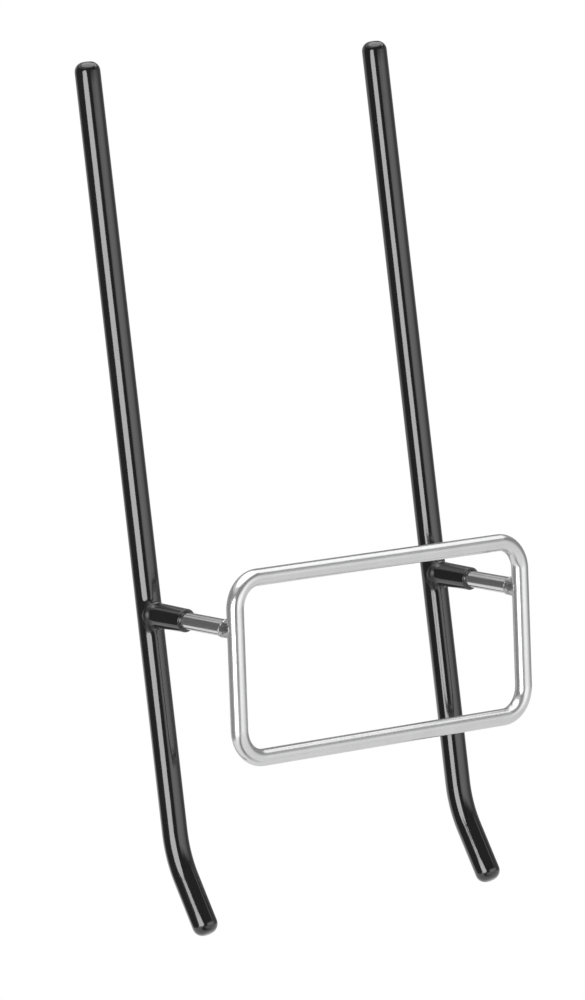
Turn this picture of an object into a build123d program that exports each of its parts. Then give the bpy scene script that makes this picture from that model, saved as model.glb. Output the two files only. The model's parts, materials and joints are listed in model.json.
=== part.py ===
from build123d import *
import os
from math import cos, radians, sin

# Welded wire rack: a closed steel loop, two posts standing off it, and two bent arms across the
# posts' far ends. Each arm, with the near half of its post, wears one dipped vinyl skin.
# Millimetres and degrees. +X to the right, +Y from the loop towards the arms, +Z up.
# The origin is the middle of the loop's top bar, on the bar's axis.

# The loop, from bar axis to bar axis
wire_diameter = 9.5
loop_width = 216.0
loop_height = 98.5
loop_corner_radius = 16.5
closing_weld_length = 2.0

# The posts: their drop below the top bar at the loop, and their reach and rise from the loop's axis
# to the arm's axis
post_drop = 27.0
post_reach = 70.0
post_rise = 4.3
post_end_gap = 2.5

# The arms: lengths along the arm from the post's axis, to the skin's ends and to the bend's corner
arm_lean = 6.6
arm_above_post = 304.0
arm_below_post = 134.0
tip_turn = 23.0
tip_length = 46.8
tip_bend_radius = 66.0
core_end_chamfer = 1.0

# The vinyl skin: its sleeve runs from the arm's axis back along the post and thins towards its lip
skin_thickness = 2.35
skin_end_thickness = 3.1
skin_end_rounding = 5.4
sleeve_reach = 30.5
sleeve_thickness_at_arm = 2.15
sleeve_thickness_at_lip = 1.75
lip_rounding = 0.5
blend_radius = 1.2

# Weld beads as (distance from the crossed bar's axis, proud of the post at its sides, proud of it
# above and below), from the root of the bead to its toe
loop_weld_sections = [(0.8, 0.35, 2.4), (5.4, 0.4, 0.9), (9.0, 0.35, 0.35)]
arm_weld_sections = [(0.8, 0.9, 3.4), (5.4, 0.8, 1.3), (8.6, 0.3, 0.3)]

wire_radius = wire_diameter / 2
arm_radius = wire_radius + skin_thickness
half_width = loop_width / 2
post_run = Vector(0, post_reach, post_rise)
arm_up = Vector(0, sin(radians(arm_lean)), cos(radians(arm_lean)))
tip_down = Vector(0, -sin(radians(arm_lean + tip_turn)), -cos(radians(arm_lean + tip_turn)))
sides = {"left": -half_width, "right": half_width}


def bent_bar(points, bend_radius, radius):
    """A round bar along straight runs joined by bends of one radius."""
    path = FilletPolyline(*points, radius=bend_radius)
    return sweep(Plane(origin=path @ 0, z_dir=path % 0) * Circle(radius), path=path)


def round_bar(start, end, start_radius, end_radius):
    """A straight round bar, or a cone, between two points."""
    run = end - start
    frame = Plane(origin=start, z_dir=run)
    ends = [frame * Circle(start_radius), frame.offset(run.length) * Circle(end_radius)]
    return loft(ends, ruled=True)


def bead(root, direction, sections):
    """A weld bead round a post: it spreads above and below the post where the bars cross."""
    rings = []
    for distance, beside, above in sections:
        level = Plane(origin=root + direction * distance, x_dir=(1, 0, 0), z_dir=direction)
        rings.append(level * Ellipse(wire_radius + beside, wire_radius + above))
    return loft(rings)


def loop_wire():
    """The loop's wire, bent round four corners, its ends facing each other on the bottom bar."""
    gap = closing_weld_length / 2
    return bent_bar(
        [
            (gap, 0, -loop_height),
            (half_width, 0, -loop_height),
            (half_width, 0, 0),
            (-half_width, 0, 0),
            (-half_width, 0, -loop_height),
            (-gap, 0, -loop_height),
        ],
        loop_corner_radius,
        wire_radius,
    )


def closing_weld():
    """The butt weld between the wire's ends, dressed flush."""
    gap = closing_weld_length / 2
    start = Vector(-gap, 0, -loop_height)
    return round_bar(start, start + Vector(closing_weld_length, 0, 0), wire_radius, wire_radius)


def arm_bar(middle, radius, end_setback):
    """An arm's bent bar through its post's axis, stopping short of the skin's two ends."""
    corner = middle - arm_up * arm_below_post
    top = middle + arm_up * (arm_above_post - end_setback)
    end = corner + tip_down * (tip_length - end_setback)
    return bent_bar([top, corner, end], tip_bend_radius, radius)


def end_edges(bar):
    """The round edges at a bent bar's two flat ends."""
    flat_ends = bar.faces().filter_by(GeomType.PLANE)
    return flat_ends.edges()


def skin_outside(middle, along_post):
    """The outside of one arm's vinyl: the arm and the post's sleeve, blended where they cross."""
    arm = arm_bar(middle, arm_radius, 0)
    arm = fillet(end_edges(arm), skin_end_rounding)
    lip = middle - along_post * sleeve_reach
    lip_radius = wire_radius + sleeve_thickness_at_lip
    sleeve = round_bar(middle, lip, wire_radius + sleeve_thickness_at_arm, lip_radius)
    lip_edge = sleeve.edges().filter_by(GeomType.CIRCLE).sort_by(Axis.Y)[0]
    sleeve = fillet(lip_edge, lip_rounding)
    skin = arm + sleeve
    crossing = skin.edges().filter_by(GeomType.BSPLINE)
    return fillet(crossing, blend_radius)


loop = loop_wire()
nodes = {"frame_loop": loop, "loop_closing_weld": closing_weld()}

for side, across in sides.items():
    at_loop = Vector(across, 0, -post_drop)
    at_arm = at_loop + post_run
    along = post_run.normalized()

    core = arm_bar(at_arm, wire_radius, skin_end_thickness)
    core = chamfer(end_edges(core), core_end_chamfer)
    bar = round_bar(at_loop + along * post_end_gap, at_arm - along * post_end_gap, wire_radius, wire_radius)
    post = bar - loop - core
    loop_weld = bead(at_loop, along, loop_weld_sections) - loop - post
    arm_weld = bead(at_arm, along * -1, arm_weld_sections) - core - post
    skin = skin_outside(at_arm, along) - core - post - arm_weld

    nodes[f"{side}_post"] = post
    nodes[f"{side}_arm_core"] = core
    nodes[f"{side}_arm_coating"] = skin
    nodes[f"{side}_post_loop_weld"] = loop_weld
    nodes[f"{side}_post_arm_weld"] = arm_weld

os.makedirs("parts", exist_ok=True)
for name, shape in nodes.items():
    export_step(shape, f"parts/{name}.step")
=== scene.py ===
import json
import math

import bmesh
import bpy
from bpy.props import FloatProperty, FloatVectorProperty, IntProperty, PointerProperty
from mathutils import Matrix, Quaternion, Vector, noise


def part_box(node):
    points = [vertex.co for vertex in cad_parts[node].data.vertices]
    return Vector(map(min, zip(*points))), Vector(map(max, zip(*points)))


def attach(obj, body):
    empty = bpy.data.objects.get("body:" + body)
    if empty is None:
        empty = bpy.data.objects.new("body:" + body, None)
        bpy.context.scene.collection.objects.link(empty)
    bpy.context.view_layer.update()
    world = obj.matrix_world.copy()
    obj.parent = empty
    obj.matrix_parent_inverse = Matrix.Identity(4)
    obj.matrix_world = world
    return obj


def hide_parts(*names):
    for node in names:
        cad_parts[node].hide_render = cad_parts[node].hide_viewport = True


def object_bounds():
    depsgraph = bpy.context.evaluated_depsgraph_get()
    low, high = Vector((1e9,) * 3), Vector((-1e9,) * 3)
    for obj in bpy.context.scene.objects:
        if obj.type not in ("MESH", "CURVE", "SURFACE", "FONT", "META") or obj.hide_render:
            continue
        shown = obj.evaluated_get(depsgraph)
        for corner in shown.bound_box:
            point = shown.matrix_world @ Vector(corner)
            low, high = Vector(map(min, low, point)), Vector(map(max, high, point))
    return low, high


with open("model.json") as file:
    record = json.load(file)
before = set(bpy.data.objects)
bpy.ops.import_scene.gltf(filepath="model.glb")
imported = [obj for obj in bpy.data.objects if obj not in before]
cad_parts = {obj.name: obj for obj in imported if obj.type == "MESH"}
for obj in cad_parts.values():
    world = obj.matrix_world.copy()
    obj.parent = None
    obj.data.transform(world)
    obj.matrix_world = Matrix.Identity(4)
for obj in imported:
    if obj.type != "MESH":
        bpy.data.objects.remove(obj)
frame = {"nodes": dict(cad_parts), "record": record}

bl_info = {
    "name": "Bicycle wall rack",
    "version": (1, 0, 0),
    "blender": (4, 5, 0),
    "location": "3D View > Sidebar > Rack",
    "description": "Dresses the wire rack: bright loop and posts, weld beads, dipped vinyl arms, studio",
    "category": "Object",
}

# Places and sizes that the frame gives
CAD_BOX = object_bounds()
BODY = "root"
MM = 0.001
MOUNTS = {mount["name"]: mount for mount in frame["record"]["mounts"]}
WIRE_RADIUS = MOUNTS["loop_top_bar"]["dims"]["r_mm"] * MM
ARM_RADIUS = MOUNTS["left_arm_tip"]["dims"]["r_mm"] * MM
LOOP_LOW, LOOP_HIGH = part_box("frame_loop")
LOOP_HALF_WIDTH = LOOP_HIGH.x - WIRE_RADIUS
LOOP_TOP = LOOP_HIGH.z - WIRE_RADIUS
LOOP_BOTTOM = LOOP_LOW.z + WIRE_RADIUS
SIDES = {"left": -LOOP_HALF_WIDTH, "right": LOOP_HALF_WIDTH}

# Directions: across the rack, and up
ACROSS = Vector((1, 0, 0))
UP = Vector((0, 0, 1))


def length_setting(name, description, default):
    """A size in metres that a user may change."""
    return FloatProperty(
        name=name, description=description, default=default, subtype="DISTANCE", unit="LENGTH", precision=5
    )


def angle_setting(name, description, degrees):
    """An angle that a user may change, given here in degrees."""
    return FloatProperty(
        name=name, description=description, default=math.radians(degrees), subtype="ANGLE", unit="ROTATION"
    )


def share_setting(name, description, default):
    """A number from 0 to 1 that a user may change."""
    return FloatProperty(
        name=name, description=description, default=default, min=0, max=1, subtype="FACTOR"
    )


def colour_setting(name, description, default):
    """A colour that a user may change."""
    return FloatVectorProperty(
        name=name, description=description, default=default, min=0, max=1, subtype="COLOR"
    )


class RackSizes(bpy.types.PropertyGroup):
    """Sizes of the rack's visible pieces"""

    loop_corner_radius: length_setting(
        "Loop corner radius", "Bend of the loop's wire, on its axis", 0.0165
    )
    post_drop: length_setting(
        "Post drop", "From the top bar's axis down to the post's axis, at the loop", 0.027
    )
    post_reach: length_setting("Post reach", "From the loop's axis out to the arm's axis", 0.070)
    post_rise: length_setting("Post rise", "From the post's loop end up to its arm end", 0.0043)
    arm_lean: angle_setting("Arm lean", "Lean of the arms' tops away from the loop", 6.6)
    arm_above: length_setting(
        "Arm above post", "Along the arm, from the post's axis to the upper end", 0.304
    )
    arm_below: length_setting(
        "Arm below post", "Along the arm, from the post's axis to the bend's corner", 0.134
    )
    tip_turn: angle_setting("Tip turn", "Turn of the lower tip back towards the loop", 23.0)
    tip_length: length_setting("Tip length", "From the bend's corner to the tip's end", 0.0468)
    tip_bend_radius: length_setting("Tip bend radius", "Bend of the arm, on its axis", 0.066)
    end_rounding: length_setting("End rounding", "Rounded edge of the vinyl at an arm's ends", 0.0054)
    sleeve_reach: length_setting(
        "Sleeve reach", "From the arm's axis to the vinyl's lip on the post", 0.0305
    )
    sleeve_thickness: length_setting("Sleeve thickness", "Vinyl on the post, next to the arm", 0.00215)
    lip_thickness: length_setting("Lip thickness", "Vinyl on the post, at its lip", 0.00175)
    lip_rounding: length_setting("Lip rounding", "Rounded edge of the lip", 0.0006)
    blend_radius: length_setting("Blend radius", "Hollow of the vinyl where sleeve and arm cross", 0.0012)
    swell_height: length_setting(
        "Swell height", "Bulge of the vinyl over the weld, at the post's sides", 0.0015
    )
    swell_place: length_setting("Swell place", "From the arm's axis along the post to the bulge", 0.0046)
    swell_width: length_setting("Swell width", "How far the bulge spreads either way", 0.0017)
    weld_reach: length_setting(
        "Weld reach", "From the loop's axis along the post to the weld's toe", 0.009
    )
    weld_spread: length_setting(
        "Weld spread", "Rise of the weld above and below the post, at the loop", 0.0013
    )
    ripple_radius: length_setting("Ripple radius", "Size of the ripples along the weld's toe", 0.0007)
    ripple_pitch: length_setting("Ripple pitch", "Step from one weld ripple to the next", 0.0006)
    wire_sides: IntProperty(name="Wire sides", description="Facets round the wire", default=64, min=12)
    bend_steps: IntProperty(name="Bend steps", description="Facets along one bend", default=36, min=4)


class RackFinish(bpy.types.PropertyGroup):
    """Colours and gloss of the rack's finishes"""

    steel_colour: colour_setting("Steel", "Plated steel wire", (0.72, 0.72, 0.725))
    steel_roughness: share_setting("Steel roughness", "Blur of the wire's reflections", 0.21)
    bead_colour: colour_setting("Weld", "Weld beads", (0.56, 0.56, 0.57))
    bead_roughness: share_setting("Weld roughness", "Blur of the beads' reflections", 0.3)
    core_colour: colour_setting("Core", "Bare bar under the vinyl", (0.42, 0.41, 0.40))
    core_roughness: share_setting("Core roughness", "Blur of the bare bar's reflections", 0.4)
    vinyl_colour: colour_setting("Vinyl", "Dipped vinyl", (0.0045, 0.0045, 0.0047))
    vinyl_roughness: share_setting("Vinyl roughness", "Blur of the vinyl's reflections", 0.13)


class StudioSettings(bpy.types.PropertyGroup):
    """Camera and light"""

    azimuth: angle_setting("Azimuth", "Camera's turn about the rack; 0 looks along +Y", -42.473)
    elevation: angle_setting("Elevation", "Camera's height above the horizon", 6.079)
    roll: angle_setting("Roll", "Camera's roll", -2.066)
    distance: length_setting("Distance", "From the camera to the point it looks at", 3.658)
    aim: FloatVectorProperty(
        name="Aim",
        description="Point the camera looks at",
        default=(-0.063061, 0.0, 0.039321),
        subtype="TRANSLATION",
    )
    lens: FloatProperty(
        name="Lens", description="Focal length in millimetres", default=242.198, unit="CAMERA"
    )
    floor_drop: length_setting("Floor drop", "Room under the rack's tips", 0.30)
    floor_colour: colour_setting("Floor", "Pale floor", (0.86, 0.86, 0.86))


class PostLine:
    """One post's axis, from the loop's axis to the arm's axis."""

    def __init__(self, sizes, across):
        self.at_loop = Vector((across, 0, LOOP_TOP - sizes.post_drop))
        run = Vector((0, sizes.post_reach, sizes.post_rise))
        self.at_arm = self.at_loop + run
        self.way = run.normalized()
        self.up = ACROSS.cross(self.way)

    def round_post(self, along, turn, beside, above):
        """A point round the axis, a distance from the loop; beside and above are its two radii."""
        out = ACROSS * (beside * math.cos(turn)) + self.up * (above * math.sin(turn))
        return self.at_loop + self.way * along + out


# Meshes from node trees


def new_tree(name, inputs):
    """A geometry node tree with a Geometry input, the named inputs and a Geometry output."""
    tree = bpy.data.node_groups.new(name, "GeometryNodeTree")
    tree.interface.new_socket("Geometry", in_out="INPUT", socket_type="NodeSocketGeometry")
    for label, kind in inputs:
        tree.interface.new_socket(label, in_out="INPUT", socket_type=kind)
    tree.interface.new_socket("Geometry", in_out="OUTPUT", socket_type="NodeSocketGeometry")
    return tree


class Wiring:
    """Adds nodes to a tree and links them."""

    def __init__(self, tree):
        self.tree = tree

    def add(self, kind, settings=None, **inputs):
        """A node with its settings; an input is a socket to link from or a plain value."""
        node = self.tree.nodes.new(kind)
        for key, value in (settings or {}).items():
            setattr(node, key, value)
        for key, value in inputs.items():
            self.feed(node.inputs[key.replace("_", " ")], value)
        return node

    def feed(self, socket, value):
        """Links or sets one input."""
        if isinstance(value, bpy.types.NodeSocket):
            self.tree.links.new(value, socket)
        else:
            socket.default_value = value

    def maths(self, operation, *values):
        """The result of a Math node on sockets or plain values."""
        node = self.add("ShaderNodeMath", {"operation": operation})
        for socket, value in zip(node.inputs, values):
            self.feed(socket, value)
        return node.outputs[0]


def finish_tree(wiring, geometry, material):
    """Ends a tree: instances made real, smooth faces and the material."""
    real = wiring.add("GeometryNodeRealizeInstances", Geometry=geometry)
    smooth = wiring.add("GeometryNodeSetShadeSmooth", Geometry=real.outputs[0])
    painted = wiring.add("GeometryNodeSetMaterial", Geometry=smooth.outputs[0], Material=material)
    wiring.add("NodeGroupOutput", Geometry=painted.outputs[0])


def round_wire_tree():
    """Sweeps a round wire along the host's path, bent at its corners.

    The wire keeps its own coordinates in wire_space: across the wire, and along it."""
    tree = new_tree(
        "Round wire",
        [
            ("Wire Radius", "NodeSocketFloat"),
            ("Bend Radius", "NodeSocketFloat"),
            ("Bend Steps", "NodeSocketInt"),
            ("Sides", "NodeSocketInt"),
            ("Material", "NodeSocketMaterial"),
        ],
    )
    wiring = Wiring(tree)
    given = wiring.add("NodeGroupInput").outputs
    path = wiring.add("GeometryNodeMeshToCurve", Mesh=given["Geometry"])
    bent = wiring.add(
        "GeometryNodeFilletCurve",
        {"mode": "POLY"},
        Curve=path.outputs[0],
        Count=given["Bend Steps"],
        Radius=given["Bend Radius"],
        Limit_Radius=True,
    )
    ring = wiring.add(
        "GeometryNodeCurvePrimitiveCircle", Resolution=given["Sides"], Radius=given["Wire Radius"]
    )
    along = wiring.add("GeometryNodeCaptureAttribute", {"domain": "POINT"}, Geometry=bent.outputs[0])
    along.capture_items.new("FLOAT", "Along")
    wiring.feed(along.inputs["Along"], wiring.add("GeometryNodeSplineParameter").outputs["Length"])
    across = wiring.add("GeometryNodeCaptureAttribute", {"domain": "POINT"}, Geometry=ring.outputs[0])
    across.capture_items.new("VECTOR", "Across")
    wiring.feed(across.inputs["Across"], wiring.add("GeometryNodeInputPosition").outputs[0])
    swept = wiring.add(
        "GeometryNodeCurveToMesh", Curve=along.outputs[0], Profile_Curve=across.outputs[0], Fill_Caps=True
    )
    apart = wiring.add("ShaderNodeSeparateXYZ", Vector=across.outputs["Across"])
    place = wiring.add(
        "ShaderNodeCombineXYZ", X=apart.outputs[0], Y=apart.outputs[1], Z=along.outputs["Along"]
    )
    kept = wiring.add(
        "GeometryNodeStoreNamedAttribute",
        {"data_type": "FLOAT_VECTOR", "domain": "POINT"},
        Geometry=swept.outputs[0],
        Name="wire_space",
        Value=place.outputs[0],
    )
    finish_tree(wiring, kept.outputs[0], given["Material"])
    return tree


def weld_ripple_tree():
    """Lays overlapping ripples along the host's path, as a weld's edge freezes."""
    tree = new_tree(
        "Weld ripples",
        [
            ("Ripple Radius", "NodeSocketFloat"),
            ("Pitch", "NodeSocketFloat"),
            ("Seed", "NodeSocketInt"),
            ("Material", "NodeSocketMaterial"),
        ],
    )
    wiring = Wiring(tree)
    given = wiring.add("NodeGroupInput").outputs
    path = wiring.add("GeometryNodeMeshToCurve", Mesh=given["Geometry"])
    steps = wiring.add(
        "GeometryNodeCurveToPoints", {"mode": "LENGTH"}, Curve=path.outputs[0], Length=given["Pitch"]
    )
    ripple = wiring.add("GeometryNodeMeshIcoSphere", Radius=given["Ripple Radius"], Subdivisions=2)
    flattened = wiring.add("ShaderNodeCombineXYZ", X=1.0, Y=1.0, Z=0.8)
    uneven = wiring.add("FunctionNodeRandomValue", {"data_type": "FLOAT"}, Seed=given["Seed"])
    smallest, largest = 0.55, 1.45
    wiring.feed(uneven.inputs[2], smallest)
    wiring.feed(uneven.inputs[3], largest)
    scale = wiring.add("ShaderNodeVectorMath", {"operation": "SCALE"}, Scale=uneven.outputs[1])
    wiring.feed(scale.inputs[0], flattened.outputs[0])
    placed = wiring.add(
        "GeometryNodeInstanceOnPoints",
        Points=steps.outputs["Points"],
        Instance=ripple.outputs["Mesh"],
        Rotation=steps.outputs["Rotation"],
        Scale=scale.outputs[0],
    )
    finish_tree(wiring, placed.outputs[0], given["Material"])
    return tree


def path_host(name, points, closed):
    """An object whose edges are the path that a node tree follows."""
    count = len(points)
    edges = [(i, (i + 1) % count) for i in range(count if closed else count - 1)]
    mesh = bpy.data.meshes.new(name)
    mesh.from_pydata([tuple(point) for point in points], edges, [])
    host = bpy.data.objects.new(name, mesh)
    bpy.context.scene.collection.objects.link(host)
    return host


def baked(host, tree, values):
    """Runs a tree on the host with its inputs set, and leaves the host as a plain mesh."""
    modifier = host.modifiers.new(tree.name, "NODES")
    modifier.node_group = tree
    for item in tree.interface.items_tree:
        if item.in_out == "INPUT" and item.name in values:
            modifier[item.identifier] = values[item.name]
    evaluated = host.evaluated_get(bpy.context.evaluated_depsgraph_get())
    mesh = bpy.data.meshes.new_from_object(evaluated)
    host.modifiers.remove(modifier)
    path = host.data
    host.data = mesh
    bpy.data.meshes.remove(path)
    mesh.name = host.name
    if not mesh.polygons:
        raise RuntimeError(f"{host.name} came out of its node tree empty")
    mesh.materials.clear()
    mesh.materials.append(values["Material"])
    mesh.polygons.foreach_set("material_index", [0] * len(mesh.polygons))
    return host


def stands_for(piece, slot, *nodes):
    """Puts a finished piece in the place of its CAD nodes."""
    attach(piece, BODY)
    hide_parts(*nodes)


# Materials


def new_group(name, inputs, outputs):
    """A shader node group with named inputs and outputs."""
    group = bpy.data.node_groups.new(name, "ShaderNodeTree")
    for label, kind, default in inputs:
        socket = group.interface.new_socket(label, in_out="INPUT", socket_type=kind)
        if default is not None:
            socket.default_value = default
    for label, kind in outputs:
        group.interface.new_socket(label, in_out="OUTPUT", socket_type=kind)
    return group


def uneven_finish_group():
    """Soft mottling and fine grain: shares for colour and roughness, and a height for bump."""
    group = new_group(
        "Uneven finish",
        [
            ("Vector", "NodeSocketVector", None),
            ("Mottle Scale", "NodeSocketFloat", 60.0),
            ("Grain Scale", "NodeSocketFloat", 900.0),
            ("Grain Share", "NodeSocketFloat", 0.3),
        ],
        [("Mottle", "NodeSocketFloat"), ("Grain", "NodeSocketFloat"), ("Height", "NodeSocketFloat")],
    )
    wiring = Wiring(group)
    given = wiring.add("NodeGroupInput").outputs
    place = given["Vector"]
    mottle = wiring.add(
        "ShaderNodeTexNoise", Vector=place, Scale=given["Mottle Scale"], Detail=3.0, Roughness=0.55
    ).outputs["Fac"]
    grain = wiring.add(
        "ShaderNodeTexNoise", Vector=place, Scale=given["Grain Scale"], Detail=2.0, Roughness=0.5
    ).outputs["Fac"]
    fine = wiring.maths("MULTIPLY", grain, given["Grain Share"])
    height = wiring.maths("ADD", mottle, fine)
    wiring.add("NodeGroupOutput", Mottle=mottle, Grain=grain, Height=height)
    return group


def drawn_lines_group():
    """Fine lines that a die leaves along a drawn wire, read in the wire's own coordinates."""
    group = new_group(
        "Drawn lines",
        [
            ("Wire Space", "NodeSocketVector", None),
            ("Stretch", "NodeSocketFloat", 0.012),
            ("Line Scale", "NodeSocketFloat", 1500.0),
        ],
        [("Lines", "NodeSocketFloat"), ("Streaks", "NodeSocketFloat")],
    )
    wiring = Wiring(group)
    given = wiring.add("NodeGroupInput").outputs
    apart = wiring.add("ShaderNodeSeparateXYZ", Vector=given["Wire Space"])
    slow = wiring.maths("MULTIPLY", apart.outputs[2], given["Stretch"])
    place = wiring.add("ShaderNodeCombineXYZ", X=apart.outputs[0], Y=apart.outputs[1], Z=slow).outputs[0]
    lines = wiring.add("ShaderNodeTexNoise", Vector=place, Scale=given["Line Scale"], Detail=3.0)
    streak_share = 0.25
    broad = wiring.maths("MULTIPLY", given["Line Scale"], streak_share)
    streaks = wiring.add("ShaderNodeTexNoise", Vector=place, Scale=broad, Detail=2.0)
    wiring.add("NodeGroupOutput", Lines=lines.outputs["Fac"], Streaks=streaks.outputs["Fac"])
    return group


class Finish:
    """One material under construction: its Principled shader and the nodes that feed it."""

    def __init__(self, name, settings):
        self.material = bpy.data.materials.new(name)
        self.material.use_nodes = True
        self.wiring = Wiring(self.material.node_tree)
        self.shader = self.material.node_tree.nodes["Principled BSDF"]
        for socket, value in settings.items():
            self.drive(socket, value)

    def drive(self, socket, value):
        """Links or sets one of the shader's inputs."""
        self.wiring.feed(self.shader.inputs[socket], value)

    def group(self, group, **inputs):
        """A shared effect placed in this material, with its own values."""
        return self.wiring.add("ShaderNodeGroup", {"node_tree": group}, **inputs).outputs

    def ranged(self, value, low, high, start=0.3, end=0.7):
        """A texture's value spread over a range."""
        node = self.wiring.add(
            "ShaderNodeMapRange", Value=value, From_Min=start, From_Max=end, To_Min=low, To_Max=high
        )
        return node.outputs[0]

    def tinted(self, value, colour, low, high):
        """The colour made darker and lighter by a texture's value."""
        node = self.wiring.add("ShaderNodeMix", {"data_type": "RGBA"})
        self.wiring.feed(node.inputs[0], value)
        self.wiring.feed(node.inputs[6], (*(channel * low for channel in colour), 1.0))
        self.wiring.feed(node.inputs[7], (*(channel * high for channel in colour), 1.0))
        self.drive("Base Color", node.outputs[2])

    def rough(self, value, level, spread):
        """Roughness about a level, varied by a texture's value."""
        self.drive("Roughness", self.ranged(value, level - spread, level + spread))

    def bumped(self, height, depth, strength, before=None):
        """A bump of a depth in metres; before is the normal of a bump under it."""
        node = self.wiring.add("ShaderNodeBump", Height=height, Strength=strength, Distance=depth)
        if before is not None:
            self.wiring.feed(node.inputs["Normal"], before)
        return node.outputs[0]

    def object_place(self):
        """Object coordinates."""
        return self.wiring.add("ShaderNodeTexCoord").outputs["Object"]

    def stored(self, attribute):
        """What the piece's mesh keeps under a name: its outputs are Vector and Fac."""
        return self.wiring.add("ShaderNodeAttribute", {"attribute_name": attribute}).outputs


def make_steel(finish, groups):
    """Bright plated wire: fine drawn lines along it, with soft cloudy patches in the plating."""
    made = Finish("plated_steel_wire", {"Metallic": 0.84})
    place = made.object_place()
    drawn = made.group(groups["drawn"], Wire_Space=made.stored("wire_space")["Vector"])
    cloudy = made.group(groups["uneven"], Vector=place, Mottle_Scale=90.0, Grain_Scale=2600.0)
    made.tinted(cloudy["Mottle"], finish.steel_colour, low=0.93, high=1.05)
    made.rough(drawn["Streaks"], finish.steel_roughness, spread=0.06)
    lined = made.bumped(drawn["Lines"], depth=0.00002, strength=0.35)
    made.drive("Normal", made.bumped(cloudy["Height"], depth=0.00002, strength=0.15, before=lined))
    return made.material


def make_post(finish, groups):
    """The posts' wire: the same plating, streaked and scuffed along the bar."""
    made = Finish("streaked_steel_post", {"Metallic": 0.95})
    place = made.object_place()
    smoother = 0.05
    drawn = made.group(groups["drawn"], Wire_Space=made.stored("wire_space")["Vector"], Line_Scale=900.0)
    cloudy = made.group(groups["uneven"], Vector=place, Mottle_Scale=160.0, Grain_Share=0.02)
    streaks = made.ranged(drawn["Streaks"], low=0.0, high=1.0)
    made.tinted(streaks, finish.steel_colour, low=0.72, high=1.12)
    made.rough(cloudy["Mottle"], finish.steel_roughness - smoother, spread=0.04)
    lined = made.bumped(drawn["Streaks"], depth=0.00006, strength=0.35)
    made.drive("Normal", made.bumped(cloudy["Height"], depth=0.00004, strength=0.2, before=lined))
    return made.material


def make_weld(finish, groups):
    """Welds: plated over, duller and greyer than the wire, with a fine crust."""
    made = Finish("weld_metal", {"Metallic": 1.0})
    place = made.object_place()
    crust = made.group(groups["uneven"], Vector=place, Mottle_Scale=700.0, Grain_Scale=3000.0)
    made.tinted(crust["Mottle"], finish.bead_colour, low=0.7, high=1.15)
    made.rough(crust["Grain"], finish.bead_roughness, spread=0.1)
    made.drive("Normal", made.bumped(crust["Height"], depth=0.00005, strength=0.5))
    return made.material


def make_core(finish, groups):
    """The bare bar under the vinyl: dull drawn steel."""
    made = Finish("core_steel", {"Metallic": 1.0})
    place = made.object_place()
    dull = made.group(groups["uneven"], Vector=place, Mottle_Scale=120.0, Grain_Scale=1800.0)
    made.tinted(dull["Mottle"], finish.core_colour, low=0.8, high=1.1)
    made.rough(dull["Grain"], finish.core_roughness, spread=0.1)
    made.drive("Normal", made.bumped(dull["Height"], depth=0.00003, strength=0.4))
    return made.material


def make_vinyl(finish, groups):
    """Dipped vinyl: glossy black, a little wavy where it flowed before it set, with a fine peel.

    It is duller over a weld."""
    made = Finish("dipped_vinyl", {"Coat Roughness": 0.06, "IOR": 1.53, "Specular IOR Level": 0.5})
    place = made.object_place()
    level, spread, duller = finish.vinyl_roughness, 0.04, 0.24
    flowed = made.group(
        groups["uneven"], Vector=place, Mottle_Scale=28.0, Grain_Scale=420.0, Grain_Share=0.04
    )
    peel = made.group(groups["uneven"], Vector=place, Mottle_Scale=300.0, Grain_Scale=1600.0)
    made.tinted(peel["Mottle"], finish.vinyl_colour, low=0.8, high=1.25)
    over_weld = made.stored("over_weld")["Fac"]
    plain = made.ranged(peel["Grain"], level - spread, level + spread)
    made.drive("Roughness", made.wiring.maths("MULTIPLY_ADD", over_weld, duller, plain))
    made.drive("Coat Weight", made.ranged(over_weld, low=1.0, high=0.18, start=0.0, end=0.8))
    waved = made.bumped(flowed["Height"], depth=0.0006, strength=0.3)
    peeled = made.bumped(peel["Height"], depth=0.00003, strength=0.05, before=waved)
    made.drive("Normal", peeled)
    made.drive("Coat Normal", peeled)
    return made.material


def finishes(scene):
    """The rack's materials, made once."""
    names = ("plated_steel_wire", "streaked_steel_post", "weld_metal", "core_steel", "dipped_vinyl")
    if names[0] not in bpy.data.materials:
        groups = {"uneven": uneven_finish_group(), "drawn": drawn_lines_group()}
        for make in (make_steel, make_post, make_weld, make_core, make_vinyl):
            make(scene.rack_finish, groups)
    return {name: bpy.data.materials[name] for name in names}


# The vinyl skin of an arm


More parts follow.
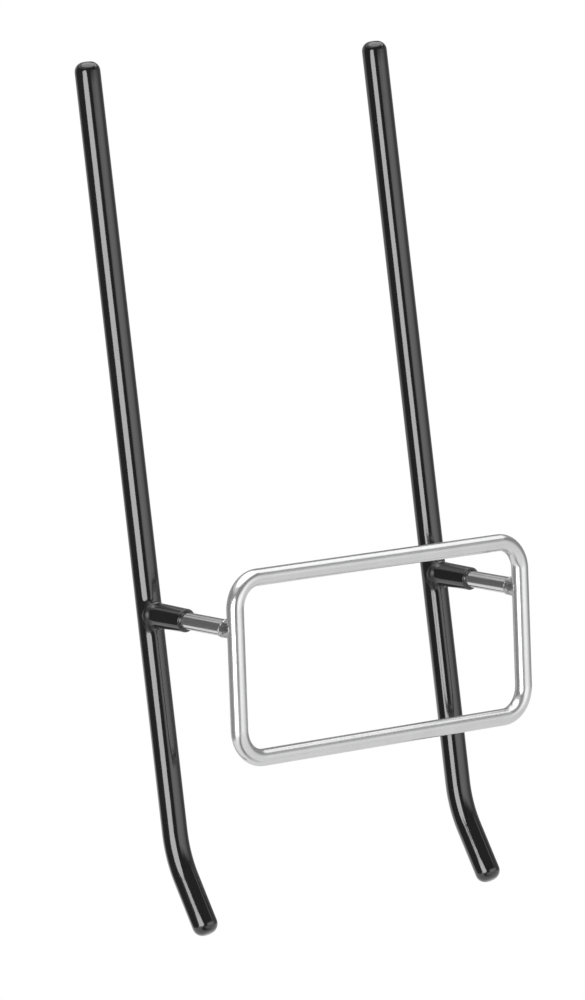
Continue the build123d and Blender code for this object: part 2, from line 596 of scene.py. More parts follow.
class SkinShape:
    """Where the vinyl's outside runs on one arm: the arm, the sleeve on its post and their blend."""

    # How far to either side of a bearing its turn is looked for, and in how many halvings
    SEARCH_SPAN = 0.8
    SEARCH_HALVINGS = 40

    def __init__(self, sizes, across):
        self.sizes = sizes
        lean, turned = sizes.arm_lean, sizes.arm_lean + sizes.tip_turn
        post = PostLine(sizes, across)
        self.middle, self.to_loop, self.post_up = post.at_arm, -post.way, post.up
        self.arm_up = Vector((0, math.sin(lean), math.cos(lean)))
        self.arm_front = Vector((0, -math.cos(lean), math.sin(lean)))
        self.tip_down = Vector((0, -math.sin(turned), -math.cos(turned)))
        self.sleeve_radius = WIRE_RADIUS + sizes.sleeve_thickness
        self.lip_radius = WIRE_RADIUS + sizes.lip_thickness

    def on_arm(self, turn, height):
        """A point on the arm's straight wall: turn is about the arm from its front, height along it."""
        out = self.arm_front * math.cos(turn) + ACROSS * math.sin(turn)
        return self.middle + self.arm_up * height + out * ARM_RADIUS

    def blend_ball(self, turn):
        """The ball that rolls in the corner of arm and sleeve, at a turn about the post.

        It gives the ball's centre, the ways out from the arm and the post to it, and how far along
        the post it touches the sleeve."""
        ball = self.sizes.blend_radius
        out_of_post = ACROSS * math.cos(turn) + self.post_up * math.sin(turn)
        from_post = self.sleeve_radius + ball
        from_arm = ARM_RADIUS + ball
        rise = from_post * out_of_post.dot(self.arm_up)
        slope = self.to_loop.dot(self.arm_up)
        square = 1 - slope * slope
        half_linear = -rise * slope
        constant = from_post * from_post - rise * rise - from_arm * from_arm
        along = (-half_linear + math.sqrt(half_linear * half_linear - square * constant)) / square
        offset = out_of_post * from_post + self.to_loop * along
        out_of_arm = (offset - self.arm_up * offset.dot(self.arm_up)).normalized()
        return self.middle + offset, out_of_arm, out_of_post, along

    def blend_edge(self, turn):
        """Where the ball touches the arm, as (distance round the arm, height along it)."""
        centre, out_of_arm, _, _ = self.blend_ball(turn)
        height = (centre - self.middle).dot(self.arm_up)
        round_arm = math.atan2(out_of_arm.dot(ACROSS), out_of_arm.dot(self.arm_front))
        return ARM_RADIUS * round_arm, height

    def turn_facing(self, bearing):
        """The turn about the post whose blend edge lies at a bearing on the arm's unrolled wall."""
        low, high = bearing - self.SEARCH_SPAN, bearing + self.SEARCH_SPAN
        for _ in range(self.SEARCH_HALVINGS):
            turn = (low + high) / 2
            edge = self.blend_edge(turn)
            ahead = math.atan2(edge[1], edge[0]) - bearing
            ahead = math.atan2(math.sin(ahead), math.cos(ahead))
            low, high = (low, turn) if ahead > 0 else (turn, high)
        return (low + high) / 2


class SkinBuilder:
    """Builds one arm's vinyl as a closed shell."""

    # Facets round the arm and its core, and rows of facets
    ROUND = 72
    CORE_ROUND = 24
    BACK_STEPS = 18
    PATCH_ROWS = 24
    BLEND_ROWS = 8
    SLEEVE_ROWS = 26
    EDGE_ROWS = 8
    # How much closer the rows lie near the blend
    PATCH_CROWDING = 1.4
    SLEEVE_CROWDING = 1.6
    # Sizes in metres: the patch round the post above and below it, a row along the arm, the rise of an
    # end's middle, and where the post's bore and the core's room end
    PATCH_HEIGHT = 0.021
    ROW_STEP = 0.008
    DOME = 0.0001
    BORE_END = 0.0056
    CORE_SETBACK = 0.0031
    # Radius of the inner walls, and the least radius of what swells, against the wire's
    INNER_WALL = 1.004
    OUTER_WALL = 1.1
    # Where the swell starts on the post's left and right sides, over what it rises, and its mark
    SWELL_START_LEFT = 0.25
    SWELL_START_RIGHT = 0.6
    SWELL_RISE = 0.35
    SWELL_MARK = 1.8

    def __init__(self, shape):
        self.shape = shape
        self.mesh = bmesh.new()
        self.over_weld = self.mesh.verts.layers.float.new("over_weld")

    def ring(self, centre, front, radius, count=ROUND):
        """A ring of points round an axis that lies in the arm's own plane."""
        points = []
        for i in range(count):
            turn = -math.pi + 2 * math.pi * i / count
            points.append(centre + (front * math.cos(turn) + ACROSS * math.sin(turn)) * radius)
        return [self.mesh.verts.new(point) for point in points]

    def join(self, first, second):
        """Faces between two closed rows of points."""
        count = len(first)
        for i in range(count):
            corners = [first[i], first[(i + 1) % count], second[(i + 1) % count], second[i]]
            distinct = list(dict.fromkeys(corners))
            if len(distinct) > 2:
                self.mesh.faces.new(distinct)

    def close(self, row, point):
        """Faces from a closed row to one point."""
        tip = self.mesh.verts.new(point)
        for i, corner in enumerate(row):
            self.mesh.faces.new([corner, row[(i + 1) % len(row)], tip])

    def patch(self):
        """The arm's wall round the blend, from the blend's edge out to a ring above and a ring below."""
        shape, rim = self.shape, []
        half_turn = math.pi * ARM_RADIUS
        for i in range(self.ROUND):
            rim.append((half_turn * (2 * i / self.ROUND - 1), self.PATCH_HEIGHT, ("top", i)))
        for i in range(self.BACK_STEPS):
            rim.append((half_turn, self.PATCH_HEIGHT * (1 - 2 * i / self.BACK_STEPS), ("back", i)))
        for i in range(self.ROUND):
            way = half_turn * (1 - 2 * i / self.ROUND)
            rim.append((way, -self.PATCH_HEIGHT, ("bottom", self.ROUND - i)))
        for i in range(self.BACK_STEPS):
            height = self.PATCH_HEIGHT * (2 * i / self.BACK_STEPS - 1)
            rim.append((-half_turn, height, ("back", self.BACK_STEPS - i)))
        self.turns = [shape.turn_facing(math.atan2(height, way)) for way, height, _ in rim]
        shared = {}
        rows = []
        for row in range(self.PATCH_ROWS + 1):
            share = (row / self.PATCH_ROWS) ** self.PATCH_CROWDING
            points = []
            for (way, height, place), turn in zip(rim, self.turns):
                edge = shape.blend_edge(turn)
                spot = (edge[0] + (way - edge[0]) * share, edge[1] + (height - edge[1]) * share)
                if row < self.PATCH_ROWS:
                    points.append(self.mesh.verts.new(shape.on_arm(spot[0] / ARM_RADIUS, spot[1])))
                    continue
                place = self.seam(place)
                if place not in shared:
                    shared[place] = self.mesh.verts.new(shape.on_arm(way / ARM_RADIUS, height))
                points.append(shared[place])
            rows.append(points)
        for inner, outer in zip(rows, rows[1:]):
            self.join(inner, outer)
        top = [shared[self.seam(("top", i))] for i in range(self.ROUND)]
        bottom = [shared[self.seam(("bottom", i))] for i in range(self.ROUND)]
        return rows[0], top, bottom

    def seam(self, place):
        """One name for each corner of the patch that is reached from two sides."""
        side, step = place
        if side in ("top", "bottom"):
            return (side, step % self.ROUND)
        if step == 0:
            return ("top", 0)
        if step == self.BACK_STEPS:
            return ("bottom", 0)
        return place

    def sleeve(self, blend_edge):
        """The blend, the sleeve along the post, its lip, and the blind bore that the post sits in."""
        shape, sizes = self.shape, self.shape.sizes
        balls = [shape.blend_ball(turn) for turn in self.turns]
        row = blend_edge
        for step in range(1, self.BLEND_ROWS + 1):
            share = step / self.BLEND_ROWS
            points = []
            for centre, out_of_arm, out_of_post, _ in balls:
                way = out_of_arm.slerp(out_of_post, share)
                points.append(self.mesh.verts.new(centre - way * sizes.blend_radius))
            self.join(points, row)
            row = points
        straight_end = sizes.sleeve_reach - sizes.lip_rounding
        profile = []
        for step in range(1, self.SLEEVE_ROWS + 1):
            profile.append(("along", (step / self.SLEEVE_ROWS) ** self.SLEEVE_CROWDING, 0))
        for step in range(1, self.EDGE_ROWS + 1):
            turn = math.pi / 2 * step / self.EDGE_ROWS
            drop = sizes.lip_rounding * (1 - math.cos(turn))
            along = straight_end + sizes.lip_rounding * math.sin(turn)
            profile.append(("at", along, shape.lip_radius - drop))
        inner = WIRE_RADIUS * self.INNER_WALL
        profile.append(("at", sizes.sleeve_reach, inner + sizes.lip_rounding / 3))
        profile.append(("at", sizes.sleeve_reach - sizes.lip_rounding / 3, inner))
        profile.append(("at", self.BORE_END, inner))
        for kind, first, second in profile:
            points = []
            for _, _, out_of_post, start in balls:
                along, radius = first, second
                if kind == "along":
                    along = start + (straight_end - start) * first
                    radius = shape.sleeve_radius + (shape.lip_radius - shape.sleeve_radius) * first
                point = shape.middle + shape.to_loop * along + out_of_post * radius
                points.append(self.mesh.verts.new(point))
            self.join(points, row)
            row = points
        self.close(list(reversed(row)), shape.middle + shape.to_loop * self.BORE_END)

    def swell(self):
        """Lifts the vinyl beside the post's foot, where it covers the weld, and marks the place.

        The bulge reaches further round the post on the left, where the weld is fuller."""
        shape, sizes = self.shape, self.shape.sizes
        self.mesh.normal_update()
        lifts = []
        for vert in self.mesh.verts:
            offset = vert.co - shape.middle
            along = offset.dot(shape.to_loop)
            out = offset - shape.to_loop * along
            if out.length > WIRE_RADIUS * self.OUTER_WALL:
                away = math.hypot(along - sizes.swell_place, out.length - shape.sleeve_radius)
                away /= sizes.swell_width
                start = self.SWELL_START_LEFT if out.x < 0 else self.SWELL_START_RIGHT
                beside = min(1, max(0, (abs(out.x) / out.length - start) / self.SWELL_RISE))
                share = math.exp(-away * away / 2) * beside * beside * (3 - 2 * beside)
                lifts.append((vert, vert.normal * (sizes.swell_height * share)))
                vert[self.over_weld] = min(1, self.SWELL_MARK * share)
        for vert, lift in lifts:
            vert.co += lift

    def rounded_end(self, row, centre, way, front, outward):
        """A bar's rounded end, from its last straight ring to the middle of its slight dome."""
        rounding = self.shape.sizes.end_rounding
        flat = ARM_RADIUS - rounding
        for step in range(1, self.EDGE_ROWS + 1):
            turn = math.pi / 2 * step / self.EDGE_ROWS
            radius = flat + rounding * math.cos(turn)
            row = self.next_ring(row, centre + way * (rounding * math.sin(turn)), front, radius, outward)
        for share in (0.66, 0.33):
            rise = rounding + self.DOME * (1 - share * share)
            row = self.next_ring(row, centre + way * rise, front, flat * share, outward)
        tip = centre + way * (rounding + self.DOME)
        self.close(row if outward else list(reversed(row)), tip)

    def next_ring(self, row, centre, front, radius, outward):
        """One more ring joined to the last; outward is true on the way up the arm."""
        ring = self.ring(centre, front, radius, len(row))
        if outward:
            self.join(row, ring)
        else:
            self.join(ring, row)
        return ring

    def upper_arm(self, row):
        """The arm from the patch up to its end."""
        shape = self.shape
        end = shape.sizes.arm_above - shape.sizes.end_rounding
        steps = math.ceil((end - self.PATCH_HEIGHT) / self.ROW_STEP)
        for step in range(1, steps + 1):
            height = self.PATCH_HEIGHT + (end - self.PATCH_HEIGHT) * step / steps
            centre = shape.middle + shape.arm_up * height
            row = self.next_ring(row, centre, shape.arm_front, ARM_RADIUS, True)
        self.rounded_end(row, shape.middle + shape.arm_up * end, shape.arm_up, shape.arm_front, True)

    def lower_path(self, start, setback):
        """Centres and fronts from the post down round the bend to the tip."""
        shape, sizes = self.shape, self.shape.sizes
        tangent = sizes.tip_bend_radius * math.tan(sizes.tip_turn / 2)
        straight = sizes.arm_below - tangent
        stations = []
        steps = math.ceil((straight - start) / self.ROW_STEP)
        for step in range(1, steps + 1):
            depth = start + (straight - start) * step / steps
            stations.append((shape.middle - shape.arm_up * depth, shape.arm_front))
        pivot = shape.middle - shape.arm_up * straight + shape.arm_front * sizes.tip_bend_radius
        bends = sizes.bend_steps // 2
        for step in range(1, bends + 1):
            turn = Matrix.Rotation(-sizes.tip_turn * step / bends, 3, "X")
            front = turn @ shape.arm_front
            stations.append((pivot - front * sizes.tip_bend_radius, front))
        corner = shape.middle - shape.arm_up * sizes.arm_below
        tip_front = stations[-1][1]
        first, last = tangent, sizes.tip_length - setback
        steps = math.ceil((last - first) / self.ROW_STEP)
        for step in range(1, steps + 1):
            reach = first + (last - first) * step / steps
            stations.append((corner + shape.tip_down * reach, tip_front))
        return stations

    def lower_arm(self, row):
        """The arm from the patch down round the bend to the tip's end."""
        stations = self.lower_path(self.PATCH_HEIGHT, self.shape.sizes.end_rounding)
        for centre, front in stations:
            row = self.next_ring(row, centre, front, ARM_RADIUS, False)
        self.rounded_end(row, stations[-1][0], self.shape.tip_down, stations[-1][1], False)

    def core_space(self):
        """The room for the bar inside the vinyl: a closed wall that faces inwards."""
        shape = self.shape
        radius = WIRE_RADIUS * self.INNER_WALL
        top = shape.middle + shape.arm_up * (shape.sizes.arm_above - self.CORE_SETBACK)
        row = self.ring(top, shape.arm_front, radius, self.CORE_ROUND)
        self.close(list(reversed(row)), top)
        for centre, front in self.lower_path(-shape.sizes.arm_above / 2, self.CORE_SETBACK):
            ring = self.ring(centre, front, radius, self.CORE_ROUND)
            self.join(row, ring)
            row = ring
        self.close(row, sum((vert.co for vert in row), Vector()) / len(row))

    def build(self, name):
        """The finished mesh."""
        blend_edge, top, bottom = self.patch()
        self.sleeve(blend_edge)
        self.swell()
        self.upper_arm(top)
        self.lower_arm(bottom)
        self.core_space()
        mesh = bpy.data.meshes.new(name)
        self.mesh.to_mesh(mesh)
        self.mesh.free()
        mesh.shade_smooth()
        return mesh


# Operators


class RACK_OT_loop(bpy.types.Operator):
    """Build the loop's bent wire and the band of its closing weld"""

    bl_idname = "rack.loop"
    bl_label = "Loop"

    BAND_PROUD = 0.00003

    def execute(self, context):
        sizes = context.scene.rack_sizes
        materials = finishes(context.scene)
        corners = [
            Vector((side * LOOP_HALF_WIDTH, 0, level))
            for side, level in ((-1, LOOP_BOTTOM), (1, LOOP_BOTTOM), (1, LOOP_TOP), (-1, LOOP_TOP))
        ]
        wire = {
            "Wire Radius": WIRE_RADIUS,
            "Bend Radius": sizes.loop_corner_radius,
            "Bend Steps": sizes.bend_steps,
            "Sides": sizes.wire_sides,
            "Material": materials["plated_steel_wire"],
        }
        tree = round_wire_tree()
        loop = baked(path_host("loop_wire", corners, True), tree, wire)
        stands_for(loop, "bright_wire", "frame_loop")
        low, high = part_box("loop_closing_weld")
        ends = [Vector((x, 0, LOOP_BOTTOM)) for x in (low.x, high.x)]
        wire["Wire Radius"] = WIRE_RADIUS + self.BAND_PROUD
        band = baked(path_host("closing_weld_band", ends, False), tree, wire)
        stands_for(band, "bright_wire", "loop_closing_weld")
        return {"FINISHED"}


class RACK_OT_posts(bpy.types.Operator):
    """Build the two straight posts"""

    bl_idname = "rack.posts"
    bl_label = "Posts"

    LOOP_GAP = 0.0025

    def execute(self, context):
        sizes = context.scene.rack_sizes
        tree = round_wire_tree()
        values = {
            "Wire Radius": WIRE_RADIUS,
            "Sides": sizes.wire_sides,
            "Material": finishes(context.scene)["streaked_steel_post"],
        }
        for side, across in SIDES.items():
            line = PostLine(sizes, across)
            first = line.at_loop + line.way * self.LOOP_GAP
            last = line.at_arm - line.way * SkinBuilder.BORE_END
            ends = [first, last]
            post = baked(path_host(f"{side}_post_bar", ends, False), tree, values)
            stands_for(post, "bright_wire", f"{side}_post")
        return {"FINISHED"}


class RACK_OT_welds(bpy.types.Operator):
    """Build the weld between each post and the loop"""

    bl_idname = "rack.welds"
    bl_label = "Welds"

    STEPS = 96
    # How far the toe wanders and in what waves, how much nearer the loop it is on top of the post, and
    # how far its ripples sink in the post, against their radius
    TOE_WANDER = 0.0009
    TOE_WAVES = 1.6
    TOE_LEAN = 0.0009
    TOE_SUNK = 0.35
    # The body's first two rows from the loop's axis, then shares of the weld's reach, each with how far
    # it stands proud of the post above and below
    ROOT = (0.0008, 0.0009)
    OUTLINE = (
        (0.45, 0.0008),
        (0.53, 0.0007),
        (0.62, 0.0006),
        (0.69, 0.0003),
        (0.76, 0.0003),
        (0.83, 0.0004),
        (0.9, 0.0003),
        (0.97, -0.0002),
    )
    # The most that it stands proud beside the post, its lumps' height and waves round and along the post,
    # and how far its inner wall lies in the post
    PROUD_BESIDE = 0.00035
    LUMPS = 0.0004
    LUMP_WAVES_ROUND = 4
    LUMP_WAVES_ALONG = 700
    SUNK = 0.0003

    def execute(self, context):
        sizes = context.scene.rack_sizes
        tree = weld_ripple_tree()
        values = {
            "Ripple Radius": sizes.ripple_radius,
            "Pitch": sizes.ripple_pitch,
            "Material": finishes(context.scene)["weld_metal"],
        }
        for seed, (side, across) in enumerate(SIDES.items()):
            values["Seed"] = seed
            line = PostLine(sizes, across)
            turns = [2 * math.pi * i / self.STEPS for i in range(self.STEPS)]
            toe = [self.on_toe(sizes, line, turn, seed) for turn in turns]
            weld = baked(path_host(f"{side}_loop_weld", toe, True), tree, values)
            self.add_collar(weld.data, sizes, line, seed)
            stands_for(weld, "weld_bead", f"{side}_post_loop_weld")
        return {"FINISHED"}

    def on_toe(self, sizes, line, turn, seed):
        """A point on the weld's wandering toe, sunk a little in the post's wall."""
        waves = self.TOE_WAVES
        place = Vector((waves * math.cos(turn), waves * math.sin(turn), 7.0 * seed + 2.5))
        wander = noise.noise(place)
        radius = WIRE_RADIUS - self.TOE_SUNK * sizes.ripple_radius
        along = sizes.weld_reach - sizes.ripple_radius
        along += self.TOE_WANDER * wander - self.TOE_LEAN * math.sin(turn)
        return line.round_post(along, turn, radius, radius)

    def add_collar(self, mesh, sizes, line, seed):
        """Adds the weld's body, which climbs the loop's wire above and below the post.

        It is hollow towards its toe."""
        inside = WIRE_RADIUS - self.SUNK
        outline = [(along, sizes.weld_spread) for along in self.ROOT]
        outline += [(share * sizes.weld_reach, proud) for share, proud in self.OUTLINE]
        body = bmesh.new()
        body.from_mesh(mesh)
        columns = []
        for i in range(self.STEPS):
            turn = 2 * math.pi * i / self.STEPS
            east, north = (self.LUMP_WAVES_ROUND * way(turn) for way in (math.cos, math.sin))
            column = []
            for along, proud in outline:
                place = Vector((east, north, self.LUMP_WAVES_ALONG * along + 11 * seed))
                lump = self.LUMPS * noise.noise(place)
                beside = WIRE_RADIUS + min(proud, self.PROUD_BESIDE) + lump
                above = WIRE_RADIUS + proud + lump
                column.append(body.verts.new(line.round_post(along, turn, beside, above)))
            for along in (outline[-1][0], outline[0][0]):
                column.append(body.verts.new(line.round_post(along, turn, inside, inside)))
            columns.append(column)
        rows = len(columns[0])
        for first, second in zip(columns, columns[1:] + columns[:1]):
            for i in range(rows):
                j = (i + 1) % rows
                body.faces.new([first[j], second[j], second[i], first[i]]).smooth = True
        body.to_mesh(mesh)
        body.free()


class RACK_OT_skins(bpy.types.Operator):
    """Build the dipped vinyl skin of each arm"""

    bl_idname = "rack.skins"
    bl_label = "Vinyl skins"

    def execute(self, context):
        vinyl = finishes(context.scene)["dipped_vinyl"]
        for side, across in SIDES.items():
            shape = SkinShape(context.scene.rack_sizes, across)
            mesh = SkinBuilder(shape).build(f"{side}_arm_skin")
            mesh.materials.append(vinyl)
            skin = bpy.data.objects.new(mesh.name, mesh)
            context.scene.collection.objects.link(skin)
            stands_for(skin, "black_vinyl", f"{side}_arm_coating")
        return {"FINISHED"}


class RACK_OT_hidden_steel(bpy.types.Operator):
    """Finish the bars and welds under the vinyl"""

    bl_idname = "rack.hidden_steel"
    bl_label = "Hidden steel"

    def execute(self, context):
        materials = finishes(context.scene)
        for side in SIDES:
            for node, finish in (("arm_core", "core_steel"), ("post_arm_weld", "weld_metal")):
                slots = frame["nodes"][f"{side}_{node}"].data.materials
                slots.clear()
                slots.append(materials[finish])
        return {"FINISHED"}


class RACK_OT_stage(bpy.types.Operator):
    """Set the floor, the light and the camera"""

    bl_idname = "rack.stage"
    bl_label = "Stage"

    # The floor's size, and the distances over which it fades to white
    FLOOR_RADIUS = 4.0
    FADE_START, FADE_END = 0.35, 0.95
    # A card's glow where it has faded, its degrees to a column of facets, and its rows
    DIM = 0.13
    CARD_STEP = 4
    CARD_ROWS = 24
    # The strip of painted floor shade, a dark sheet seen only in reflections: its glow and the floor's,
    # the three points that its bent path goes by, its rows and columns of facets, half its width and what
    # that gains by its end, the share of its length over which it darkens, and its height over the floor
    RUNNER_GLOW, FLOOR_GLOW = 0.05, 0.88
    RUNNER_PATH = ((0.3, -0.36), (-0.75, 0.35), (-1.1, -1.9))
    RUNNER_ROWS, RUNNER_COLUMNS = 40, 16
    RUNNER_HALF_WIDTH, RUNNER_GAIN = 0.18, 0.4
    RUNNER_DARKENS = 0.3
    RUNNER_LIFT = 0.002

    def execute(self, context):
        studio = context.scene.rack_studio
        self.camera(context.scene, studio)
        self.floor(context.scene, studio)
        self.surround(context.scene)
        self.lamps(context.scene, studio)
        self.cards(context.scene, studio)
        context.scene.view_settings.view_transform = "Standard"
        return {"FINISHED"}

    def toward(self, azimuth, elevation):
        """The way out to a place round the rack."""
        level = math.cos(elevation)
        return Vector((math.sin(azimuth) * level, -math.cos(azimuth) * level, math.sin(elevation)))

    def camera(self, scene, studio):
        """The camera at the photograph's viewing angle."""
        back = self.toward(studio.azimuth, studio.elevation)
        right = (-back).cross(UP).normalized()
        turned = right * math.cos(studio.roll) + right.cross(-back) * math.sin(studio.roll)
        upright = back.cross(turned)
        data = bpy.data.cameras.new("camera")
        data.lens = studio.lens
        camera = bpy.data.objects.new("camera", data)
        scene.collection.objects.link(camera)
        place = Vector(studio.aim) + back * studio.distance
        camera.matrix_world = Matrix.LocRotScale(
            place, Matrix((turned, upright, back)).transposed().to_quaternion(), None
        )
        scene.camera = camera

    def floor(self, scene, studio):
        """A pale floor below the rack that fades into the white surround."""
        level = CAD_BOX[0].z - studio.floor_drop
        mesh = bpy.data.meshes.new("floor")
        shape = bmesh.new()
        bmesh.ops.create_circle(shape, cap_ends=True, segments=96, radius=self.FLOOR_RADIUS)
        shape.to_mesh(mesh)
        shape.free()
        mesh.transform(Matrix.Translation((0, 0, level)))
        material = bpy.data.materials.new("pale_floor")
        material.use_nodes = True
        wiring = Wiring(material.node_tree)
        nodes = material.node_tree.nodes
        surface = nodes["Principled BSDF"]
        surface.inputs["Base Color"].default_value = (*studio.floor_colour, 1)
        surface.inputs["Roughness"].default_value = 0.9
        place = wiring.add("ShaderNodeTexCoord").outputs["Object"]
        flat = wiring.add("ShaderNodeVectorMath", {"operation": "MULTIPLY"})
        wiring.feed(flat.inputs[0], place)
        wiring.feed(flat.inputs[1], (1, 1, 0))
        away = wiring.add("ShaderNodeVectorMath", {"operation": "LENGTH"})
        wiring.feed(away.inputs[0], flat.outputs[0])
        fade = wiring.add(
            "ShaderNodeMapRange",
            {"interpolation_type": "SMOOTHSTEP"},
            Value=away.outputs["Value"],
            From_Min=self.FADE_START,
            From_Max=self.FADE_END,
        )
        seen = wiring.add("ShaderNodeLightPath").outputs["Is Camera Ray"]
        white = wiring.add("ShaderNodeEmission", Strength=1.0)
        mixed = wiring.add("ShaderNodeMixShader", Fac=wiring.maths("MULTIPLY", fade.outputs[0], seen))
        wiring.feed(mixed.inputs[1], surface.outputs[0])
        wiring.feed(mixed.inputs[2], white.outputs[0])
        wiring.feed(nodes["Material Output"].inputs["Surface"], mixed.outputs[0])
        mesh.materials.append(material)
        floor = bpy.data.objects.new("floor", mesh)
        scene.collection.objects.link(floor)

    def surround(self, scene):
        """A surround that is white to the eye and in reflections, and gentler as light."""
        world = bpy.data.worlds.new("surround")
        world.use_nodes = True
        scene.world = world
        wiring = Wiring(world.node_tree)
        path = wiring.add("ShaderNodeLightPath").outputs
        seen = wiring.maths("MAXIMUM", path["Is Camera Ray"], path["Is Glossy Ray"])
        seen = wiring.maths("MAXIMUM", seen, path["Is Transmission Ray"])
        level = wiring.add("ShaderNodeMapRange", Value=seen, To_Min=0.8, To_Max=1.0)
        background = world.node_tree.nodes["Background"]
        background.inputs["Color"].default_value = (1, 1, 1, 1)
        wiring.feed(background.inputs["Strength"], level.outputs[0])

    def lamps(self, scene, studio):
        """An oval soft box to the left of the camera, leaning."""
        box = dict(turn=-28.5, rise=2.8, far=2.6, wide=2.44, high=1.625, lean=29.3, bright=4.9)
        data = bpy.data.lights.new("key_softbox", "AREA")
        data.shape = "ELLIPSE"
        data.size, data.size_y = box["wide"], box["high"]
        data.energy = box["bright"] * math.pi * math.pi / 4 * box["wide"] * box["high"]
        lamp = bpy.data.objects.new(data.name, data)
        scene.collection.objects.link(lamp)
        out = self.toward(studio.azimuth + math.radians(box["turn"]), math.radians(box["rise"]))
        facing = out.to_track_quat("Z", "Y") @ Quaternion((0, 0, 1), math.radians(box["lean"]))
        lamp.matrix_world = Matrix.LocRotScale(self.middle() + out * box["far"], facing, None)
        lamp.visible_camera = False

    def cards(self, scene, studio):
        """Glowing and dark cards round the rack, seen in its reflections alone.

        Each has its glow at turns from the camera, its rises above the horizon (where its glow starts, is
        full, starts to fade and ends) and its distance."""
        cards = {
            "front": ({-56: 0.08, 22: 0.1}, (-24, -24, 30, 30), 2.8),
            "left": ({-116: 0.11, -56: 0.11}, (-30, -30, 36, 36), 1.0),
            "left_back": ({-180: 0.25, -150: 0.4, -112: 0.5}, (-14, -14, 22, 36), 3.0),
            "upper_back": ({-180: 0.62, -92: 0.62}, (36, 36, 60, 68), 3.0),
            "right": ({22: 0.7, 34: 1.39, 52: 1.39}, (-24, -24, 9, 24), 2.8),
            "far_right": ({52: 1.39, 67: 1.2, 84: 0.88, 101: 0.36, 123: 0.14}, (-24, -24, 12, 28), 2.8),
            "right_upper": ({84: 0.2, 90: 0.7, 96: 0.7, 100: 0.2}, (20, 27, 31, 34), 2.7),
            "right_back": ({123: 0.25, 180: 0.25}, (-14, -14, 36, 36), 2.8),
            "top": ({99: 1.4, 158: 1.4}, (36, 36, 56, 56), 2.8),
            "over_left": ({-92: 0.6, -10: 0.6}, (36, 42, 64, 68), 3.0),
            "over_front": ({-10: 0.6, 30: 0.8, 60: 1.2, 99: 1.4}, (45, 50, 64, 68), 3.0),
            "zenith": ({-180: 2.2, 180: 2.2}, (50, 59, 90, 90), 2.95),
            "ceiling": ({-180: 0.13, 180: 0.13}, (24, 24, 90, 90), 3.2),
        }
        glowing = bpy.data.materials.new("studio_card")
        glowing.use_nodes = True
        glowing.cycles.emission_sampling = "NONE"
        surface = glowing.node_tree.nodes["Principled BSDF"].inputs
        surface["Base Color"].default_value = (0, 0, 0, 1)
        surface["Specular IOR Level"].default_value = 0
        surface["Emission Color"].default_value = (1, 1, 1, 1)
        wiring = Wiring(glowing.node_tree)
        glow = wiring.add("ShaderNodeAttribute", {"attribute_name": "glow"})
        wiring.feed(surface["Emission Strength"], glow.outputs["Fac"])
        grids = {name: self.card_grid(studio, *card) for name, card in cards.items()}
        # A dark strip on the floor, seen only in reflections: painted shade on the floor
        grids["runner"] = self.runner_grid(studio)
        for name, grid in grids.items():
            mesh = self.glowing_mesh(f"{name}_card", grid)
            mesh.materials.append(glowing)
            card = bpy.data.objects.new(mesh.name, mesh)
            scene.collection.objects.link(card)
            for ray in ("camera", "diffuse", "shadow"):
                setattr(card, f"visible_{ray}", False)

    def card_grid(self, studio, glows, rises, far):
        """Rows of points and glows on a curved card that faces the rack."""
        turns = []
        for first, last in zip(list(glows), list(glows)[1:]):
            steps = math.ceil((last - first) / self.CARD_STEP)
            for step in range(steps):
                share = step / steps
                glow = glows[first] + (glows[last] - glows[first]) * share
                turns.append((first + (last - first) * share, glow))
        turns.append((last, glows[last]))
        start, full, fading, end = rises
        even = {start + (end - start) * j / self.CARD_ROWS for j in range(self.CARD_ROWS + 1)}
        levels = sorted(even | {full, fading})
        grid = []
        for level in levels:
            share = 1.0
            if level < full:
                share = (level - start) / (full - start)
            elif level > fading:
                share = (end - level) / (end - fading)
            row = []
            for turn, glow in turns:
                way = self.toward(studio.azimuth + math.radians(turn), math.radians(level))
                glow = self.DIM + (glow - self.DIM) * share * share * (3 - 2 * share)
                row.append((self.middle() + way * far, glow))
            grid.append(row)
        return grid

    def runner_grid(self, studio):
        """Rows of points and glows on a dark strip of painted shade on the floor, seen only in
        reflections: along the loop, then to the front.

        Its edges and its start are as pale as the floor."""
        level = CAD_BOX[0].z - studio.floor_drop + self.RUNNER_LIFT
        start, turn, end = (Vector((x, y, level)) for x, y in self.RUNNER_PATH)
        grid = []
        for step in range(self.RUNNER_ROWS + 1):
            t = step / self.RUNNER_ROWS
            point = start * (1 - t) ** 2 + turn * (2 * t * (1 - t)) + end * t * t
            side = ((turn - start) * (1 - t) + (end - turn) * t).normalized().cross(UP)
            half_width = self.RUNNER_HALF_WIDTH + self.RUNNER_GAIN * t * t
            row = []
            for i in range(self.RUNNER_COLUMNS + 1):
                across = 2 * i / self.RUNNER_COLUMNS - 1
                share = min(1, t / self.RUNNER_DARKENS) * (1 - across * across) ** 2
                glow = self.FLOOR_GLOW + (self.RUNNER_GLOW - self.FLOOR_GLOW) * share
                row.append((point + side * (half_width * across), glow))
            grid.append(row)
        return grid

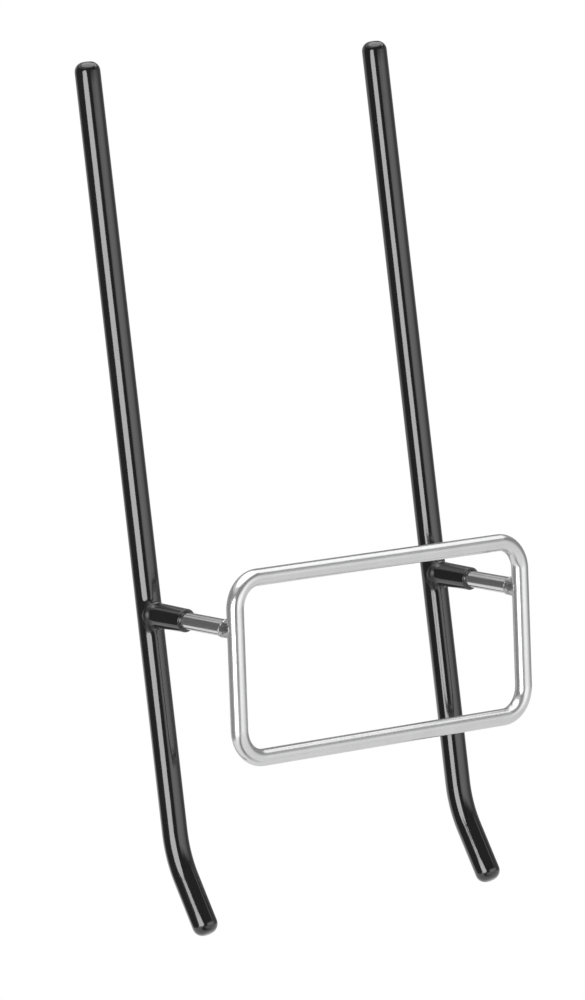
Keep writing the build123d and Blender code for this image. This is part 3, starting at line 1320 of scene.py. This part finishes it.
    def glowing_mesh(self, name, grid):
        """A sheet through rows of points, their glow kept at the points."""
        across = len(grid[0])
        faces = []
        for j in range(len(grid) - 1):
            for i in range(across - 1):
                first = j * across + i
                faces.append((first, first + 1, first + across + 1, first + across))
        mesh = bpy.data.meshes.new(name)
        mesh.from_pydata([point for row in grid for point, _ in row], [], faces)
        kept = mesh.attributes.new("glow", "FLOAT", "POINT")
        kept.data.foreach_set("value", [glow for row in grid for _, glow in row])
        return mesh

    def middle(self):
        """The middle of the rack's box."""
        return (CAD_BOX[0] + CAD_BOX[1]) / 2


class RACK_PT_panel(bpy.types.Panel):
    """The rack's pieces and settings"""

    bl_idname = "RACK_PT_panel"
    bl_label = "Bicycle wall rack"
    bl_space_type = "VIEW_3D"
    bl_region_type = "UI"
    bl_category = "Rack"

    def draw(self, context):
        for operator in OPERATORS:
            self.layout.operator(operator.bl_idname)
        for group in (context.scene.rack_sizes, context.scene.rack_finish, context.scene.rack_studio):
            box = self.layout.box()
            for name in group.__annotations__:
                box.prop(group, name)


OPERATORS = (
    RACK_OT_loop,
    RACK_OT_posts,
    RACK_OT_welds,
    RACK_OT_skins,
    RACK_OT_hidden_steel,
    RACK_OT_stage,
)
SETTINGS = {"rack_sizes": RackSizes, "rack_finish": RackFinish, "rack_studio": StudioSettings}


def register():
    """Adds the rack's settings, operators and panel to Blender."""
    for kind in (*SETTINGS.values(), *OPERATORS, RACK_PT_panel):
        bpy.utils.register_class(kind)
    for name, kind in SETTINGS.items():
        setattr(bpy.types.Scene, name, PointerProperty(type=kind))


def unregister():
    """Takes them out again."""
    for name in SETTINGS:
        delattr(bpy.types.Scene, name)
    for kind in reversed((*SETTINGS.values(), *OPERATORS, RACK_PT_panel)):
        bpy.utils.unregister_class(kind)


def main():
    """Builds the whole rack and its stage."""
    register()
    bpy.ops.rack.loop()
    bpy.ops.rack.posts()
    bpy.ops.rack.welds()
    bpy.ops.rack.skins()
    bpy.ops.rack.hidden_steel()
    bpy.ops.rack.stage()


if __name__ == "__main__":
    main()
